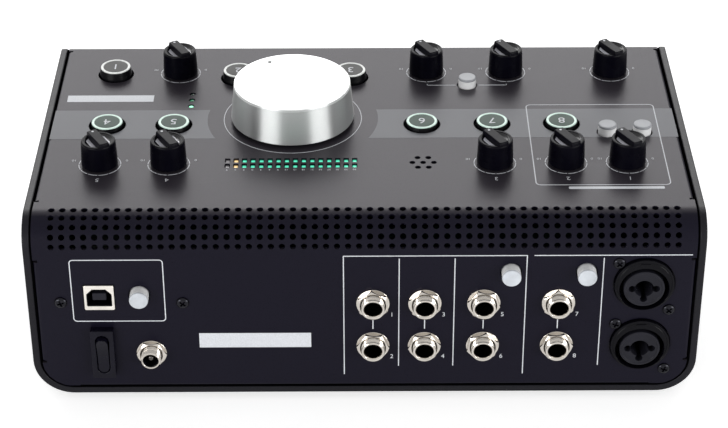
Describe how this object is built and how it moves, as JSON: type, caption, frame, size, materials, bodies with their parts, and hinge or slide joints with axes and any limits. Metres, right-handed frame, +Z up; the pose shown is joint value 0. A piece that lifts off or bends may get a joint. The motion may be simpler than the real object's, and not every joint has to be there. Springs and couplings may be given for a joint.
{
  "type": "studio monitor controller",
  "caption": "Desktop studio monitor controller: folded metal case with a perforated rear bend, a large volume knob, rotary controls, lit push buttons and rear sockets.",
  "frame": {"origin": "centre of the bounding box in X and Y, on the plane that the feet stand on", "axes": "+X to the right as seen from the rear panel, +Y towards the user at the plain front, -Y towards the sockets, +Z up"},
  "size_m": [0.27, 0.1586, 0.1034],
  "materials": {
    "cover": "fine textured dark grey powder coat",
    "top_sheet": "satin charcoal paint",
    "rear_sheet": "satin near-black paint",
    "rubber": "matt",
    "circuit_board": "solder-masked laminate",
    "lamp_lens": "clear and tinted lamp lenses",
    "turned_metal": "turned and satin-finished",
    "knob_plastic": "satin moulded",
    "button_plastic": "black cap with a translucent white ring and a smoked face",
    "push_plastic": "light grey moulded",
    "plated_metal": "nickel plate",
    "socket_plastic": "black moulded"
  },
  "bodies": {
    "case": {"top_panel": "top_sheet", "vent_bend": "top_sheet", "control_board": "circuit_board", "level_meter": "lamp_lens", "rear_panel": "rear_sheet", "rear_board": "circuit_board", "monitor_b_left_jack": "plated_metal", "monitor_b_left_nut": "plated_metal", "monitor_b_right_jack": "plated_metal", "monitor_b_right_nut": "plated_metal", "monitor_a_left_jack": "plated_metal", "monitor_a_left_nut": "plated_metal", "monitor_a_right_jack": "plated_metal", "monitor_a_right_nut": "plated_metal", "two_track_left_jack": "plated_metal", "two_track_left_nut": "plated_metal", "two_track_right_jack": "plated_metal", "two_track_right_nut": "plated_metal", "stereo_left_jack": "plated_metal", "stereo_left_nut": "plated_metal", "stereo_right_jack": "plated_metal", "stereo_right_nut": "plated_metal", "input_1_socket": "socket_plastic", "input_2_socket": "socket_plastic", "usb_socket": "plated_metal", "supply_socket": "plated_metal", "supply_nut": "plated_metal", "power_switch": "socket_plastic", "front_phones_1_jack": "plated_metal", "front_phones_2_jack": "plated_metal", "outer_cover": "cover", "rear_left_foot": "rubber", "rear_right_foot": "rubber", "front_left_foot": "rubber", "front_right_foot": "rubber"},
    "volume_knob_body": {"volume_knob": "turned_metal"},
    "talkback_knob_body": {"talkback_knob": "knob_plastic"},
    "phones_1_knob_body": {"phones_1_knob": "knob_plastic"},
    "phones_2_knob_body": {"phones_2_knob": "knob_plastic"},
    "blend_knob_body": {"blend_knob": "knob_plastic"},
    "trim_b_knob_body": {"trim_b_knob": "knob_plastic"},
    "trim_a_knob_body": {"trim_a_knob": "knob_plastic"},
    "line_gain_knob_body": {"line_gain_knob": "knob_plastic"},
    "gain_2_knob_body": {"gain_2_knob": "knob_plastic"},
    "gain_1_knob_body": {"gain_1_knob": "knob_plastic"},
    "cue_button_body": {"cue_button": "button_plastic"},
    "dim_button_body": {"dim_button": "button_plastic"},
    "mono_button_body": {"mono_button": "button_plastic"},
    "monitor_b_button_body": {"monitor_b_button": "button_plastic"},
    "monitor_a_button_body": {"monitor_a_button": "button_plastic"},
    "usb_source_button_body": {"usb_source_button": "button_plastic"},
    "line_source_button_body": {"line_source_button": "button_plastic"},
    "mic_source_button_body": {"mic_source_button": "button_plastic"},
    "phones_link_push_body": {"phones_link_push": "push_plastic"},
    "phantom_push_body": {"phantom_push": "push_plastic"},
    "mono_input_push_body": {"mono_input_push": "push_plastic"},
    "power_rocker_body": {"power_rocker": "socket_plastic"},
    "record_source_push_body": {"record_source_push": "push_plastic"},
    "level_a_push_body": {"level_a_push": "push_plastic"},
    "level_b_push_body": {"level_b_push": "push_plastic"}
  },
  "joints": [
    {"name": "volume_knob_turn", "type": "hinge", "parent": "case", "child": "volume_knob_body", "pos_m": [-0.03, 0.00975, 0.0857], "axis": [0, 0, 1], "range_deg": [0, 300]},
    {"name": "talkback_knob_turn", "type": "hinge", "parent": "case", "child": "talkback_knob_body", "pos_m": [-0.08, 0.04945, 0.0857], "axis": [0, 0, 1], "range_deg": [0, 300]},
    {"name": "phones_1_knob_turn", "type": "hinge", "parent": "case", "child": "phones_1_knob_body", "pos_m": [0.02746, 0.04945, 0.0857], "axis": [0, 0, 1], "range_deg": [0, 300]},
    {"name": "phones_2_knob_turn", "type": "hinge", "parent": "case", "child": "phones_2_knob_body", "pos_m": [0.06213, 0.04945, 0.0857], "axis": [0, 0, 1], "range_deg": [0, 300]},
    {"name": "blend_knob_turn", "type": "hinge", "parent": "case", "child": "blend_knob_body", "pos_m": [0.10773, 0.04945, 0.0857], "axis": [0, 0, 1], "range_deg": [0, 300]},
    {"name": "trim_b_knob_turn", "type": "hinge", "parent": "case", "child": "trim_b_knob_body", "pos_m": [-0.10792, -0.02775, 0.0857], "axis": [0, 0, 1], "range_deg": [0, 300]},
    {"name": "trim_a_knob_turn", "type": "hinge", "parent": "case", "child": "trim_a_knob_body", "pos_m": [-0.07978, -0.02775, 0.0857], "axis": [0, 0, 1], "range_deg": [0, 300]},
    {"name": "line_gain_knob_turn", "type": "hinge", "parent": "case", "child": "line_gain_knob_body", "pos_m": [0.05343, -0.02775, 0.0857], "axis": [0, 0, 1], "range_deg": [0, 300]},
    {"name": "gain_2_knob_turn", "type": "hinge", "parent": "case", "child": "gain_2_knob_body", "pos_m": [0.08254, -0.02775, 0.0857], "axis": [0, 0, 1], "range_deg": [0, 300]},
    {"name": "gain_1_knob_turn", "type": "hinge", "parent": "case", "child": "gain_1_knob_body", "pos_m": [0.10751, -0.02775, 0.0857], "axis": [0, 0, 1], "range_deg": [0, 300]},
    {"name": "cue_button_press", "type": "slide", "parent": "case", "child": "cue_button_body", "axis": [0, 0, -1], "range_m": [0, 0.0028]},
    {"name": "dim_button_press", "type": "slide", "parent": "case", "child": "dim_button_body", "axis": [0, 0, -1], "range_m": [0, 0.0028]},
    {"name": "mono_button_press", "type": "slide", "parent": "case", "child": "mono_button_body", "axis": [0, 0, -1], "range_m": [0, 0.0028]},
    {"name": "monitor_b_button_press", "type": "slide", "parent": "case", "child": "monitor_b_button_body", "axis": [0, 0, -1], "range_m": [-0.0022, 0.0006]},
    {"name": "monitor_a_button_press", "type": "slide", "parent": "case", "child": "monitor_a_button_body", "axis": [0, 0, -1], "range_m": [-0.0022, 0.0006]},
    {"name": "usb_source_button_press", "type": "slide", "parent": "case", "child": "usb_source_button_body", "axis": [0, 0, -1], "range_m": [-0.0022, 0.0006]},
    {"name": "line_source_button_press", "type": "slide", "parent": "case", "child": "line_source_button_body", "axis": [0, 0, -1], "range_m": [-0.0022, 0.0006]},
    {"name": "mic_source_button_press", "type": "slide", "parent": "case", "child": "mic_source_button_body", "axis": [0, 0, -1], "range_m": [-0.0022, 0.0006]},
    {"name": "phones_link_push_press", "type": "slide", "parent": "case", "child": "phones_link_push_body", "axis": [0, 0, -1], "range_m": [0, 0.0025]},
    {"name": "phantom_push_press", "type": "slide", "parent": "case", "child": "phantom_push_body", "axis": [0, 0, -1], "range_m": [0, 0.0025]},
    {"name": "mono_input_push_press", "type": "slide", "parent": "case", "child": "mono_input_push_body", "axis": [0, 0, -1], "range_m": [0, 0.0025]},
    {"name": "power_rocker_tilt", "type": "hinge", "parent": "case", "child": "power_rocker_body", "pos_m": [-0.10589, -0.0745, 0.02527], "axis": [1, 0, 0], "range_deg": [-14, 0]},
    {"name": "record_source_push_press", "type": "slide", "parent": "case", "child": "record_source_push_body", "axis": [0, 1, 0], "range_m": [0, 0.0025]},
    {"name": "level_a_push_press", "type": "slide", "parent": "case", "child": "level_a_push_body", "axis": [0, 1, 0], "range_m": [0, 0.0025]},
    {"name": "level_b_push_press", "type": "slide", "parent": "case", "child": "level_b_push_body", "axis": [0, 1, 0], "range_m": [0, 0.0025]}
  ]
}
